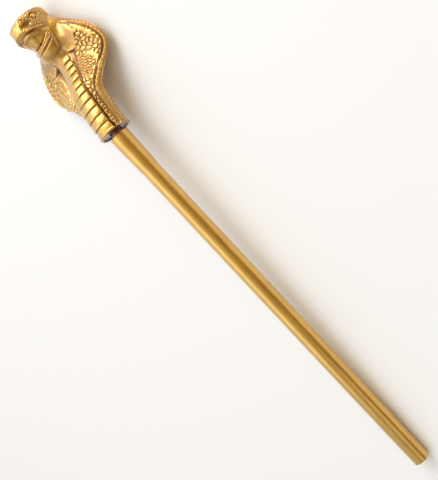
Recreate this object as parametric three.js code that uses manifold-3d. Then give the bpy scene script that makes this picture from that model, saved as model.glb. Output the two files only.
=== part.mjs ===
// A moulded cobra sceptre: a cobra with a spread hood and an open mouth, whose spigot
// plugs into the belled end of a plain round shaft. It lies on its back, belly up.
//
// Both pieces are shaped standing up, in millimetres, and then laid down. While they stand,
// a place is [front, side, up]: the way the belly faces, the cobra's left, and up along the
// shaft from the underside of the cobra's collar. The shaft's centre line has front 0.
import * as THREE from 'three';
import { mergeVertices } from 'three/addons/utils/BufferGeometryUtils.js';
import Module from 'manifold-3d';

const wasm = await Module();
wasm.setup();

// ---------------------------------------------------------------- driving dimensions

// Shaft
const SHAFT_LENGTH = 373.5;
const SHAFT_RADIUS = 8.05;
const TIP_RADIUS = 7.7;
const TAPER_LENGTH = 120;
const BELL_RADIUS = 9.25;
const BELL_END_RADIUS = 8.6;
const BELL_LENGTH = 30;
const SHOULDER_LENGTH = 10;
const SHAFT_EDGE = 0.5;
const ROUND_SIDES = 36;

// Spigot and the socket that takes it
const JOINT_GAP = 3.4;
const SPIGOT_RADIUS = 6.1;
const SPIGOT_LENGTH = 14;
const CLEARANCE = 0.3;

// Collar
const COLLAR_LIP = 0.9;
const COLLAR_LIP_HEIGHT = 2.2;
const COLLAR_RECESS = 1.4;
const COLLAR_WALL = 1.8;
const COLLAR_TILT_DEGREES = 4.1;
const COLLAR_TILT_HEIGHT = 30;

// Belly scutes, from the top one down
const SCUTE_TOP = 77.2;
const SCUTE_BOTTOM = 0.4;
const SCUTE_COUNT = 11;
const SCUTE_GROWTH = 1.05;
const SCUTE_STEP = 1.1;

// The groove on either side of the scutes, which widens from the collar to the hood
const GROOVE_DEPTH = 1.1;
const GROOVE_AT_COLLAR = 1.3;
const GROOVE_AT_HOOD = 2.4;

// Hood: where it starts to spread and where it is full, its raised rim and its plates
const HOOD_START = 28;
const HOOD_FULL = 56;
const RIM_INSET = 2.6;
const RIM_HEIGHT = 1.2;
const RIM_FADE_START = 98;
const RIM_FADE_END = 108;
const PLATE_COLUMNS = 5;
const PLATE_HEIGHT = 0.7;

// The body from the collar to the nape, as [up, value] stations: half its width, how far
// forward its outer edge, the crest of its belly column and its back lie, the column's own
// half width and how much it bulges, the thickness of the hood's edge, and how the front
// falls from the column to the edge, from hollow below 1 to straight at 1
const HALF_WIDTH = [
  [0, 14.1], [9, 14.1], [20, 14.8], [29, 16.8], [36, 19.5], [41, 24.2], [46, 31.2],
  [53, 40], [60, 45], [67, 45.8], [75, 44], [83, 39.8], [90, 33.9], [98, 26.3],
  [105, 20.8], [111, 16], [117, 11.6], [122, 5],
];
const RIM_FRONT = [
  [0, 0], [10, -0.9], [20, -1.9], [31, -2.6], [37, -3.6], [45, -10.2], [53, -18.2],
  [62, -21.2], [75, -21.8], [90, -22.7], [98, -23.2], [105, -21.8], [122, -18],
];
const CREST_FRONT = [
  [0, 14.1], [9, 13.7], [18, 12.4], [27, 10.6], [36, 8], [46, 4.2], [54, -0.6],
  [62, -5.2], [72, -9], [78, -10], [82, -8.4], [90, -7.4], [105, -12], [122, -14],
];
const COLUMN_HALF_WIDTH = [
  [0, 10.2], [20, 10.1], [46, 10], [61, 9.6], [76, 9.2], [86, 10.6], [105, 9], [122, 2.4],
];
const COLUMN_BULGE = [[0, 5], [46, 4.8], [75, 4.2], [90, 4.6], [105, 3], [122, 1]];
const BACK_FRONT = [
  [0, -14.1], [10, -15], [20, -16.1], [30, -17.5], [40, -20.2], [50, -24.2], [60, -28],
  [70, -30], [80, -30.6], [95, -30.6], [105, -29.6], [114, -27.4], [122, -21],
];
const EDGE_THICKNESS = [
  [0, 0], [30, 0.3], [46, 2.2], [66, 2.4], [95, 2.2], [112, 1.6], [122, 0.4],
];
const LOBE_FULLNESS = [[0, 0.5], [28, 0.55], [46, 0.8], [60, 0.95], [100, 0.9], [122, 0.6]];

// Above the scutes the body's rings are evenly spaced up to the nape
const BODY_TOP = 121;
const THROAT_RING = 2.9;

// The head: its hinge, where the lips meet, and its outline seen from the side, as
// [front, up, fullness across] going over the crown, down the face and back under the chin
const CORNER = { front: -13.3, up: 102.3 };
const CORNER_SPREAD = 0.47;
const SPREAD_START = 102;
const SPREAD_END = 108;
const HEAD_HALF_WIDTH = 14.5;
const HEAD_OUTLINE = [
  [-28, 106, 3.6], [-28.8, 111, 4], [-28, 117, 4.6], [-25.2, 123.2, 6],
  [-19.4, 126.2, 6.6], [-11, 126.4, 5.6], [-4, 125.7, 4], [1.4, 124.6, 2.9],
  [5.2, 122.6, 2.4], [7.8, 119.4, 2.2], [9.4, 115, 2.1], [9.3, 111.8, 2.1],
  [6.2, 110, 2.1], [4.4, 106.4, 2], [2.2, 102, 1.9], [0, 97.8, 1.7],
  [-1.2, 95.2, 1.6], [-0.2, 93.8, 1.6], [0.5, 92.2, 1.6], [-0.4, 90.2, 1.6],
  [-3.6, 87.2, 1.8], [-7.8, 84.2, 2], [-13.6, 82.2, 2.4], [-19, 87.6, 3], [-23.4, 98, 3.4],
];
const HEAD_RINGS = 18;

const EYE = { front: -7.4, side: 12.4, up: 118.4, radius: 2.4 };

// Lying down: about how far up the hood rests, and how much is pared off for a flat spot
const HOOD_REST = 82;
const FLAT_DEPTH = 0.6;
const FLAT_SLAB = 20;

// Shares of the width at which a cross-section has its corners
const BELLY_SHARES = [0, 0.3, 0.56, 0.78, 0.93, 1];
const BACK_SHARES = [0.985, 0.93, 0.82, 0.66, 0.46, 0.23, 0];

const GOLD = { color: 0xc8963c, metalness: 0.9, roughness: 0.32 };

// ---------------------------------------------------------------- helpers

const { degToRad, lerp, radToDeg, smoothstep } = THREE.MathUtils;

// The value at a place, on a smooth curve through [place, value] stations.
function along(stations, place) {
  const last = stations.length - 1;
  if (place <= stations[0][0]) return stations[0][1];
  if (place >= stations[last][0]) return stations[last][1];
  const i = stations.findIndex(([x]) => x > place) - 1;
  const slope = (k) => {
    const [x0, y0] = stations[Math.max(k - 1, 0)];
    const [x1, y1] = stations[Math.min(k + 1, last)];
    return (y1 - y0) / (x1 - x0);
  };
  const [x0, y0] = stations[i];
  const [x1, y1] = stations[i + 1];
  const w = x1 - x0;
  const t = (place - x0) / w;
  return y0 + (y1 - y0) * t * t * (3 - 2 * t)
    + w * slope(i) * t * (1 - t) ** 2 - w * slope(i + 1) * t * t * (1 - t);
}

// A standing place as a point in the lying frame, before it is lowered to the floor.
const place = (front, side, up) => new THREE.Vector3(up, -side, front);

// A closed skin over rings that all have the same number of points.
function loft(rings) {
  const count = rings[0].length;
  const points = rings.flat();
  const index = [];
  for (let start = 0; start + count < points.length; start += count) {
    for (let k = 0; k < count; k += 1) {
      const a = start + k;
      const b = start + ((k + 1) % count);
      index.push(a, b, b + count, a, b + count, a + count);
    }
  }
  const lastRing = points.length - count;
  for (const start of [0, lastRing]) {
    const centre = new THREE.Vector3();
    for (let k = 0; k < count; k += 1) centre.addScaledVector(points[start + k], 1 / count);
    points.push(centre);
    for (let k = 0; k < count; k += 1) {
      const a = start + k;
      const b = start + ((k + 1) % count);
      index.push(points.length - 1, ...(start === 0 ? [b, a] : [a, b]));
    }
  }
  return new THREE.BufferGeometry().setFromPoints(points).setIndex(index);
}

// A closed geometry as a solid that can be joined and cut.
function solid(geometry) {
  geometry.deleteAttribute('normal');
  geometry.deleteAttribute('uv');
  const merged = mergeVertices(geometry);
  return new wasm.Manifold(new wasm.Mesh({
    numProp: 3,
    vertProperties: new Float32Array(merged.attributes.position.array),
    triVerts: new Uint32Array(merged.index.array),
  }));
}

// A round solid about the shaft's centre line, from its [radius, up] outline.
function turned(outline) {
  const points = outline.map(([radius, up]) => new THREE.Vector2(radius, up));
  return solid(new THREE.LatheGeometry(points, ROUND_SIDES).rotateZ(-Math.PI / 2));
}

// ---------------------------------------------------------------- cobra

// The heights between the belly scutes, from the top one down.
function scuteEdges() {
  const total = (SCUTE_GROWTH ** SCUTE_COUNT - 1) / (SCUTE_GROWTH - 1);
  const first = (SCUTE_TOP - SCUTE_BOTTOM) / total;
  const edges = [SCUTE_TOP];
  for (let i = 0; i < SCUTE_COUNT; i += 1) {
    edges.push(edges[i] - first * SCUTE_GROWTH ** i);
  }
  return edges;
}

// One cross-section of the body. `step` is how far the scute stands out here, and `row` is
// the row of hood plates whose middle this is, if it is one.
function bodySection({ up, step = 0, row = null }) {
  const width = along(HALF_WIDTH, up);
  const rim = along(RIM_FRONT, up);
  const crest = along(CREST_FRONT, up);
  const column = along(COLUMN_HALF_WIDTH, up);
  const bulge = along(COLUMN_BULGE, up);
  const edge = along(EDGE_THICKNESS, up);
  const back = rim - edge - along(BACK_FRONT, up);
  const fullness = along(LOBE_FULLNESS, up);
  const hood = smoothstep(up, HOOD_START, HOOD_FULL);
  const belly = 1 - smoothstep(up, SCUTE_TOP - 1, SCUTE_TOP + 2);
  const raised = lerp(0.5, 1, hood) * (1 - smoothstep(up, RIM_FADE_START, RIM_FADE_END));
  const groove = lerp(GROOVE_AT_COLLAR, GROOVE_AT_HOOD, hood);
  const root = column + groove;
  const inset = Math.min(RIM_INSET, 0.35 * (width - root));
  const lip = COLLAR_LIP * (1 - smoothstep(up, 0.6, COLLAR_LIP_HEIGHT));

  const front = (side) => {
    const t = Math.max(side - column, 0) / (width - column);
    return rim + (crest - bulge - rim) * (1 - t) ** fullness + edge * Math.sqrt(1 - t ** 6);
  };
  const half = BELLY_SHARES.map((t) => [
    column * t, crest + edge - bulge * t * t + belly * step * (1 - t ** 8),
  ]);
  half.push([column + groove / 2, front(column + groove / 2) - belly * GROOVE_DEPTH]);
  const plates = width - inset * 1.6 - root;
  for (let k = 0; k <= PLATE_COLUMNS; k += 1) {
    const side = root + plates * (k / PLATE_COLUMNS);
    const plate = row !== null && k > 0 && k < PLATE_COLUMNS ? (k + row) % 2 : 0;
    half.push([side, front(side) + PLATE_HEIGHT * hood * plate]);
  }
  half.push([width - inset, front(width - inset) + RIM_HEIGHT * raised]);
  half.push([width - inset * 0.5, front(width - inset * 0.5)]);
  half.push([width, rim]);
  for (const t of BACK_SHARES) {
    const flat = edge * Math.sqrt(1 - t ** 6);
    half.push([width * t, rim - flat - back * (1 - t * t) ** lerp(0.5, 0.7, hood)]);
  }
  const other = half.slice(1, -1).reverse().map(([side, forward]) => [-side, forward]);
  const tilt = Math.tan(degToRad(COLLAR_TILT_DEGREES)) * (1 - smoothstep(up, 0, COLLAR_TILT_HEIGHT));
  return [...half, ...other].map(([side, forward]) => {
    const grow = 1 + lip / Math.hypot(side, forward);
    return place(forward * grow, side * grow, up + forward * tilt);
  });
}

// The neck and the hood, with a raised step at the foot of every belly scute.
function body() {
  const rings = [{ up: 0 }];
  const edges = scuteEdges().reverse();
  for (let i = 0; i + 1 < edges.length; i += 1) {
    const low = edges[i];
    const pitch = edges[i + 1] - low;
    rings.push({ up: low + 0.12 * pitch, step: SCUTE_STEP });
    rings.push({ up: low + 0.55 * pitch, step: SCUTE_STEP * 0.6, row: i });
    rings.push({ up: low + pitch - 0.1 });
  }
  for (let up = SCUTE_TOP + 2.4; up <= BODY_TOP; up += THROAT_RING) rings.push({ up });
  return solid(loft(rings.map(bodySection)));
}

// The head, as its outline seen from the side drawn in towards the two mouth corners.
function head() {
  const rings = [];
  for (let r = 1; r < HEAD_RINGS; r += 1) {
    const turn = Math.PI * (r / HEAD_RINGS - 0.5);
    rings.push(HEAD_OUTLINE.map(([front, up, fullness]) => {
      const reach = Math.cos(turn) ** (2 / fullness);
      const side = Math.sign(turn) * HEAD_HALF_WIDTH * Math.abs(Math.sin(turn)) ** (2 / fullness);
      const spread = CORNER_SPREAD * smoothstep(up, SPREAD_START, SPREAD_END);
      return place(
        lerp(CORNER.front, front, reach), side, lerp(CORNER.up, up, lerp(spread, 1, reach)),
      );
    }));
  }
  return solid(loft(rings));
}

function eye(side) {
  const ball = new THREE.SphereGeometry(EYE.radius, 12, 8);
  const centre = place(EYE.front, side * EYE.side, EYE.up);
  return solid(ball.translate(centre.x, centre.y, centre.z));
}

function cobra() {
  const recessRadius = HALF_WIDTH[0][1] + COLLAR_LIP - COLLAR_WALL;
  const recess = turned([
    [0, -1], [recessRadius, -1], [recessRadius - 0.4, COLLAR_RECESS], [0, COLLAR_RECESS],
  ]).rotate([0, -COLLAR_TILT_DEGREES, 0]);
  const spigot = turned([
    [0, -SPIGOT_LENGTH], [SPIGOT_RADIUS - 0.5, -SPIGOT_LENGTH],
    [SPIGOT_RADIUS, 0.5 - SPIGOT_LENGTH], [SPIGOT_RADIUS, COLLAR_RECESS + 1],
    [0, COLLAR_RECESS + 1],
  ]);
  return body().add(head()).add(eye(1)).add(eye(-1)).subtract(recess).add(spigot);
}

// ---------------------------------------------------------------- shaft

function shaft() {
  const top = -JOINT_GAP;
  const bottom = top - SHAFT_LENGTH;
  const socketRadius = SPIGOT_RADIUS + CLEARANCE;
  const socketEnd = -SPIGOT_LENGTH - 1;
  return turned([
    [0, bottom], [TIP_RADIUS - SHAFT_EDGE, bottom], [TIP_RADIUS, bottom + SHAFT_EDGE],
    [SHAFT_RADIUS, bottom + TAPER_LENGTH],
    [SHAFT_RADIUS, top - BELL_LENGTH - SHOULDER_LENGTH],
    [BELL_END_RADIUS, top - BELL_LENGTH],
    [BELL_RADIUS, top - SHAFT_EDGE], [BELL_RADIUS - SHAFT_EDGE, top],
    [socketRadius, top], [socketRadius, socketEnd], [0, socketEnd],
  ]);
}

// ---------------------------------------------------------------- laying down

const pieces = [['cobra_head', cobra()], ['shaft', shaft()]];

// The shaft climbs from its end towards the hood until both touch the floor.
const turn = (piece, rise) => piece.rotate([0, -rise, 0]);
const foot = (piece, rise) => turn(piece, rise).boundingBox().min[2];
let rise = 0;
for (let i = 0; i < 6; i += 1) {
  const [headFoot, shaftFoot] = pieces.map(([, piece]) => foot(piece, rise));
  rise += radToDeg(Math.atan2(shaftFoot - headFoot, SHAFT_LENGTH + HOOD_REST));
}

// Both flat spots are pared off on one plane, which becomes the floor.
const floor = foot(pieces[0][1], rise) + FLAT_DEPTH;
const slab = solid(
  new THREE.BoxGeometry(3 * SHAFT_LENGTH, 3 * HOOD_REST, FLAT_SLAB)
    .translate(0, 0, floor - FLAT_SLAB / 2),
);

const sceptre = new THREE.Group();
for (const [name, piece] of pieces) {
  const { vertProperties, triVerts } = turn(piece, rise).subtract(slab).getMesh();
  const geometry = new THREE.BufferGeometry();
  geometry.setAttribute('position', new THREE.BufferAttribute(vertProperties, 3));
  geometry.setIndex(new THREE.BufferAttribute(triVerts, 1));
  const mesh = new THREE.Mesh(geometry, new THREE.MeshStandardMaterial(GOLD));
  mesh.name = name;
  sceptre.add(mesh);
}
const box = new THREE.Box3().setFromObject(sceptre);
const middle = box.getCenter(new THREE.Vector3());
sceptre.position.set(-middle.x, -middle.y, -floor);

export default sceptre;
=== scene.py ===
# %% [markdown]
# # A moulded cobra sceptre
#
# The sceptre is two pieces of gold-coated plastic: a cobra with a spread hood, moulded in
# one, and a plain tube that its spigot plugs into. It lies on its back, belly up. The
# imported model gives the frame: where the pieces lie and how large they are. Here the cobra
# is modelled finer over its solid, the tube is turned rounder, and both get their finish.

# %% Load the frame
import math

import bpy
import numpy as np
from mathutils import Matrix, Vector


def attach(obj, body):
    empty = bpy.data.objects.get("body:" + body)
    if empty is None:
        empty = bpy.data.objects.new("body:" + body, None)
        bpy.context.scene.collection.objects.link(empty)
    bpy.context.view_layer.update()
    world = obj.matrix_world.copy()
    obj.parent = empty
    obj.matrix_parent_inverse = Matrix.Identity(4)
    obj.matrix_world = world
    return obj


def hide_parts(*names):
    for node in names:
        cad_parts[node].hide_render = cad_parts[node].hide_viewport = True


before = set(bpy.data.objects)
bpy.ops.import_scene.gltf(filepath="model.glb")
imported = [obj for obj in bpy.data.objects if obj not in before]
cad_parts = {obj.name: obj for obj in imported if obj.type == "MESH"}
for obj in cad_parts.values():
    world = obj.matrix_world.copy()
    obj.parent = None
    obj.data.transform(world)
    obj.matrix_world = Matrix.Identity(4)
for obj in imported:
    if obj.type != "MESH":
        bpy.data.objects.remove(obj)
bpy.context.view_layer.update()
bpy.ops.object.select_all(action="DESELECT")

# %% [markdown]
# ## The standing frame
#
# A snake on a staff is easiest to shape while the staff stands up, so a place is
# [front, side, up] in millimetres: the way the belly faces, the cobra's left, and up along
# the shaft from the underside of the collar. The shaft's closed end is a flat disc square
# to its centre line, so its normal tells how the sceptre lies, and its highest corner is
# one radius in front of the centre line. Two helpers then turn places into points and back.

# %% Standing frame from the shaft's closed end
MM = 0.001
SHAFT_LENGTH = 373.5
JOINT_GAP = 3.4
END_RADIUS = 7.2

shaft_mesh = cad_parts["shaft"].data
end_faces = [face for face in shaft_mesh.polygons if face.normal.x < -0.99]
end_normal = sum((face.normal * face.area for face in end_faces), Vector()).normalized()
end_corners = [shaft_mesh.vertices[i].co for face in end_faces for i in face.vertices]
UP = np.array(-end_normal)
LEFT = np.array([0.0, -1.0, 0.0])
FRONT = np.cross(LEFT, UP)
END = np.array(max(end_corners, key=lambda corner: corner.z)) - FRONT * END_RADIUS * MM
COLLAR = END + UP * (SHAFT_LENGTH + JOINT_GAP) * MM


def lay(places):
    """Points in metres for standing places in millimetres."""
    return COLLAR + np.asarray(places, float) * MM @ np.stack([FRONT, LEFT, UP])


def stand(points):
    """Standing places in millimetres for points in metres."""
    return (np.asarray(points, float) - COLLAR) @ np.stack([FRONT, LEFT, UP], axis=1) / MM


print("collar", COLLAR.round(5), "rise", round(math.degrees(math.asin(UP[2])), 3))

# %% [markdown]
# ## Camera
#
# The camera looks down on the lying sceptre from the cobra's left, square to the shaft, and
# is rolled so that the shaft runs from the upper left to the lower right.

# %% Camera
VIEW_TURN = math.radians(41)
VIEW_DISTANCE = 678
VIEW_UP = -125.6
VIEW_SIDE = 1.03
LENS = 60.4
ROLL = math.atan2(0.6831, 0.7303)

towards_camera = math.cos(VIEW_TURN) * FRONT + math.sin(VIEW_TURN) * LEFT
across_view = math.cos(VIEW_TURN) * LEFT - math.sin(VIEW_TURN) * FRONT
camera_data = bpy.data.cameras.new("camera")
camera_data.lens = LENS
camera_data.sensor_width = 36
camera = bpy.data.objects.new("camera", camera_data)
bpy.context.scene.collection.objects.link(camera)
camera_right = math.cos(ROLL) * across_view - math.sin(ROLL) * UP
camera_up = math.cos(ROLL) * UP + math.sin(ROLL) * across_view
camera_place = COLLAR + MM * (
    VIEW_UP * UP + VIEW_DISTANCE * towards_camera + VIEW_SIDE * across_view
)
camera.matrix_world = Matrix([
    [camera_right[k], camera_up[k], towards_camera[k], camera_place[k]] for k in range(3)
] + [[0, 0, 0, 1]])
bpy.context.scene.camera = camera

# %% [markdown]
# ## Stations
#
# The body changes smoothly from the collar to the nape. A few stations, each a height and a
# value, say how wide, how deep and how full it is there, and a smooth curve through the
# stations gives every height between them. They are the same stations as the solid's.

# %% Stations of the body
HALF_WIDTH = [
    [0, 14.1], [9, 14.1], [20, 14.8], [29, 16.8], [36, 19.5], [41, 24.2], [46, 31.2],
    [53, 40], [60, 45], [67, 45.8], [75, 44], [83, 39.8], [90, 33.9], [98, 26.3],
    [105, 20.8], [111, 16], [117, 11.6], [122, 5],
]
RIM_FRONT = [
    [0, 0], [10, -0.9], [20, -1.9], [31, -2.6], [37, -3.6], [45, -10.2], [53, -18.2],
    [62, -21.2], [75, -21.8], [90, -22.7], [98, -23.2], [105, -21.8], [122, -18],
]
CREST_FRONT = [
    [0, 14.1], [9, 13.7], [18, 12.4], [27, 10.6], [36, 8], [46, 4.2], [54, -0.6],
    [62, -5.2], [72, -9], [78, -10], [82, -8.4], [90, -7.4], [105, -12], [122, -14],
]
COLUMN_HALF_WIDTH = [
    [0, 10.2], [20, 10.1], [46, 10], [61, 9.6], [76, 9.2], [86, 10.6], [105, 9], [122, 2.4],
]
COLUMN_BULGE = [[0, 5], [46, 4.8], [75, 4.2], [90, 4.6], [105, 3], [122, 1]]
BACK_FRONT = [
    [0, -14.1], [10, -15], [20, -16.1], [30, -17.5], [40, -20.2], [50, -24.2], [60, -28],
    [70, -30], [80, -30.6], [95, -30.6], [105, -29.6], [114, -27.4], [122, -21],
]
EDGE_THICKNESS = [
    [0, 0], [30, 0.3], [46, 2.2], [66, 2.4], [95, 2.2], [112, 1.6], [122, 0.4],
]
LOBE_FULLNESS = [[0, 0.5], [28, 0.55], [46, 0.8], [60, 0.95], [100, 0.9], [122, 0.6]]
BODY_TOP = 121
HOOD_START = 28
HOOD_FULL = 56


def along(stations, places):
    """The values at some places, on a smooth curve through [place, value] stations."""
    x, y = np.array(stations, float).T
    last = len(x) - 1
    before = np.maximum(np.arange(last + 1) - 1, 0)
    after = np.minimum(np.arange(last + 1) + 1, last)
    slope = (y[after] - y[before]) / (x[after] - x[before])
    places = np.clip(places, x[0], x[last])
    i = np.clip(np.searchsorted(x, places, side="right") - 1, 0, last - 1)
    w = x[i + 1] - x[i]
    t = (places - x[i]) / w
    return (
        y[i] + (y[i + 1] - y[i]) * t * t * (3 - 2 * t)
        + w * slope[i] * t * (1 - t) ** 2 - w * slope[i + 1] * t * t * (1 - t)
    )


def ease(low, high, value):
    """0 below low, 1 above high, and smooth between."""
    t = np.clip((value - low) / (high - low), 0, 1)
    return t * t * (3 - 2 * t)


def mix(a, b, t):
    return a + (b - a) * t


print("hood is", 2 * max(w for _, w in HALF_WIDTH), "mm wide")

# %% [markdown]
# ## The body's surface
#
# A cross-section has three stretches: the rounded belly column, the lobe that falls from
# the column to the hood's edge, and the back. `body_places` walks round it, from 0 at the
# belly line over 1 at the middle of the back, and back to 2, on the side away from it.

# %% Cross-sections of the body
COLUMN_SHARE = 0.2
LOBE_SHARE = 0.62
COLLAR_LIP = 0.9
COLLAR_LIP_HEIGHT = 2.2
COLLAR_TILT = math.tan(math.radians(4.1))
COLLAR_TILT_HEIGHT = 30


def level_up(front, up):
    """Height along the shaft with the tilt of the collar's foot taken out."""
    return up - front * COLLAR_TILT * (1 - ease(0, COLLAR_TILT_HEIGHT, up))


def lobe_front(side, up):
    """How far forward the front of a lobe lies, for sides from the column to the edge."""
    width = along(HALF_WIDTH, up)
    rim = along(RIM_FRONT, up)
    column = along(COLUMN_HALF_WIDTH, up)
    root = along(CREST_FRONT, up) - along(COLUMN_BULGE, up)
    t = np.clip((side - column) / (width - column), 0, 1)
    fall = (1 - t) ** along(LOBE_FULLNESS, up)
    return rim + (root - rim) * fall + along(EDGE_THICKNESS, up) * np.sqrt(1 - t ** 6)


def front_half(across, up):
    """[side, front] of the front, across from 0 at the belly line to 1 at the edge."""
    width = along(HALF_WIDTH, up)
    column = along(COLUMN_HALF_WIDTH, up)
    share = COLUMN_SHARE / LOBE_SHARE
    t = np.clip(across / share, 0, 1)
    crest = along(CREST_FRONT, up) + along(EDGE_THICKNESS, up) - along(COLUMN_BULGE, up) * t * t
    outward = 1 - (1 - np.clip((across - share) / (1 - share), 0, 1)) ** 1.6
    side = np.where(across < share, column * t, mix(column, width, outward))
    return side, np.where(across < share, crest, lobe_front(side, up))


def back_half(across, up):
    """[side, front] of the back, across from 0 at the edge to 1 at the middle."""
    width = along(HALF_WIDTH, up)
    edge = along(EDGE_THICKNESS, up)
    rim = along(RIM_FRONT, up)
    back = rim - edge - along(BACK_FRONT, up)
    t = 1 - across ** 1.6
    round_off = mix(0.5, 0.7, ease(HOOD_START, HOOD_FULL, up))
    return width * t, rim - edge * np.sqrt(1 - t ** 6) - back * (1 - t * t) ** round_off


def body_places(around, up):
    """Places on the body for around in 0 to 2 and heights up."""
    near = np.where(around > 1, 2 - around, around)
    side, front = front_half(np.minimum(near / LOBE_SHARE, 1), up)
    back_side, back_front = back_half(np.clip((near - LOBE_SHARE) / (1 - LOBE_SHARE), 0, 1), up)
    side = np.where(near > LOBE_SHARE, back_side, side)
    front = np.where(near > LOBE_SHARE, back_front, front)
    lip = COLLAR_LIP * (1 - ease(0.6, COLLAR_LIP_HEIGHT, up))
    grow = 1 + lip / np.maximum(np.hypot(side, front), 1)
    tilt = COLLAR_TILT * (1 - ease(0, COLLAR_TILT_HEIGHT, up))
    side = np.where(around > 1, -side, side)
    return np.stack([front * grow, side * grow, up + front * tilt], axis=-1)


# %% [markdown]
# ## Shaping a sphere
#
# A globe is a closed skin with rings and meridians, so it can be pulled into any closed
# tube-like form: each ring becomes a cross-section. The body and the head both start as a
# UV sphere whose corners are moved, which keeps their faces in tidy rows.


# %% A sphere pulled into shape
def corner_values(piece, key="co"):
    """The points of a piece's corners, or their normals."""
    values = np.empty(len(piece.data.vertices) * 3)
    piece.data.vertices.foreach_get(key, values)
    return values.reshape(-1, 3)


def face_outward():
    """Turn the faces of the active piece outward."""
    bpy.ops.object.mode_set(mode="EDIT")
    bpy.ops.mesh.select_all(action="SELECT")
    bpy.ops.mesh.normals_make_consistent(inside=False)
    bpy.ops.object.mode_set(mode="OBJECT")


def shape_sphere(name, segments, rings, placing):
    """A UV sphere whose corner at (ring, segment), as shares 0 to 1, goes to a place."""
    bpy.ops.mesh.primitive_uv_sphere_add(segments=segments, ring_count=rings, radius=1)
    piece = bpy.context.object
    piece.name = name
    x, y, z = corner_values(piece).T
    ring = np.round(np.arccos(np.clip(z, -1, 1)) / math.pi * rings) / rings
    segment = np.round(np.arctan2(y, x) / (2 * math.pi) * segments) % segments / segments
    piece.data.vertices.foreach_set("co", lay(placing(ring, segment)).ravel())
    face_outward()
    bpy.ops.object.select_all(action="DESELECT")
    return piece


# %% [markdown]
# ## Body
#
# The jaw flows into the throat without a corner. So the front of the body swells towards
# the foot of the jaw, most right beside it and less and less away from it.

# %% Body
BODY_SEGMENTS = 192
BODY_RINGS = 260
RECESS_DEPTH = 1.4
RECESS_RADIUS = 13.2
JAW_FOOT = [[0, 82], [8, 83.5], [11, 87.5], [12.4, 93], [13, 98], [13.6, 112]]
SWELL_HEIGHT = [[80, 0], [86, 0.8], [92, 2.4], [98, 4], [104, 4], [112, 0]]
SWELL_REACH = 10


def to_path(points, path):
    """Distances from points to a path of straight steps, and how far along it they are."""
    path = np.array(path, float)
    runs = np.linalg.norm(np.diff(path, axis=0), axis=1)
    best = np.full(len(points), np.inf)
    place = np.zeros(len(points))
    start = 0.0
    for a, b, run in zip(path[:-1], path[1:], runs):
        t = np.clip((points - a) @ (b - a) / run ** 2, 0, 1)
        distance = np.linalg.norm(points - a - t[:, None] * (b - a), axis=1)
        closer = distance < best
        best = np.where(closer, distance, best)
        place = np.where(closer, start + t * run, place)
        start += run
    return best, place


def from_line(a, b, line):
    """Distances of places from a line, as seen flat."""
    return to_path(np.stack([a, b], axis=-1), line)[0]


def swell(side, up):
    """How far the front of the body swells forward towards the foot of the jaw."""
    near = np.abs(side)
    foot_up, foot_side = np.array(JAW_FOOT)[:, 1], np.array(JAW_FOOT)[:, 0]
    under_jaw = (near < np.interp(up, foot_up, foot_side)) & (up > foot_up[0])
    away = np.where(under_jaw, 0, from_line(near, up, JAW_FOOT))
    return along(SWELL_HEIGHT, up) * np.clip(1 - away / SWELL_REACH, 0, 1) ** 2


def body_placing(ring, segment):
    """Rings run from the nape down to the collar, then in over its rim to the recess."""
    step = ring * BODY_RINGS
    up = BODY_TOP * (1 - (step - 1) / (BODY_RINGS - 5))
    places = body_places(2 * segment, np.maximum(up, 0))
    on_front = np.minimum(2 * segment, 2 - 2 * segment) < LOBE_SHARE
    places[:, 0] += on_front * swell(places[:, 1], places[:, 2])
    bearing = np.arctan2(places[:, 1], places[:, 0])
    for rings_left, radius, height in (
        (3, RECESS_RADIUS, 0), (2, RECESS_RADIUS - 0.4, RECESS_DEPTH), (1, 6, RECESS_DEPTH),
        (0, 0, RECESS_DEPTH),
    ):
        inner = np.round(step) == BODY_RINGS - rings_left
        front, side = radius * np.cos(bearing), radius * np.sin(bearing)
        inward = np.stack([front, side, height + front * COLLAR_TILT], axis=-1)
        places[inner] = inward[inner]
    nape = body_places(np.array([0.0, 1.0]), np.array([BODY_TOP, BODY_TOP])).mean(axis=0)
    places[step < 0.5] = nape
    return places


body = shape_sphere("cobra_body", BODY_SEGMENTS, BODY_RINGS, body_placing)

# %% [markdown]
# ## Head
#
# Seen from the side the head is one outline: flat crown, blunt snout, open mouth and deep
# chin. The same outline is drawn in towards the corner of the mouth on either side, by a
# rounded law, so that the crown is broad and square and the chin is round.

# %% Head
CORNER = (-13.3, 102.3)
CORNER_SPREAD = 0.47
HEAD_HALF_WIDTH = 14.5
HEAD_OUTLINE = [
    [-28, 106, 3.6], [-28.8, 111, 4], [-28, 117, 4.6], [-25.2, 123.2, 6],
    [-19.4, 126.2, 6.6], [-11, 126.4, 5.6], [-4, 125.7, 4], [1.4, 124.6, 2.9],
    [5.2, 122.6, 2.4], [7.8, 119.4, 2.2], [9.4, 115, 2.1], [9.3, 111.8, 2.1],
    [6.2, 110, 2.1], [4.4, 106.4, 2], [2.2, 102, 1.9], [0, 97.8, 1.7],
    [-1.2, 95.2, 1.6], [-0.2, 93.8, 1.6], [0.5, 92.2, 1.7], [0.1, 90, 1.9],
    [-1.1, 87, 2.2], [-3.2, 84, 2.6], [-7, 81.6, 3], [-13, 80.8, 3], [-19, 87, 3],
    [-23.4, 98, 3.4],
]
HEAD_SEGMENTS = 200
HEAD_RINGS = 120


def closed_curve(points, shares):
    """Values on a smooth closed curve through the points, for shares 0 to 1 of the way."""
    points = np.array(points, float)
    count = len(points)
    i = np.floor(shares * count).astype(int)
    t = (shares * count - i)[:, None]
    a, b, c, d = (points[(i + k) % count] for k in (-1, 0, 1, 2))
    return b + 0.5 * t * (c - a + t * (2 * a - 5 * b + 4 * c - d + t * (3 * (b - c) + d - a)))


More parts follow.
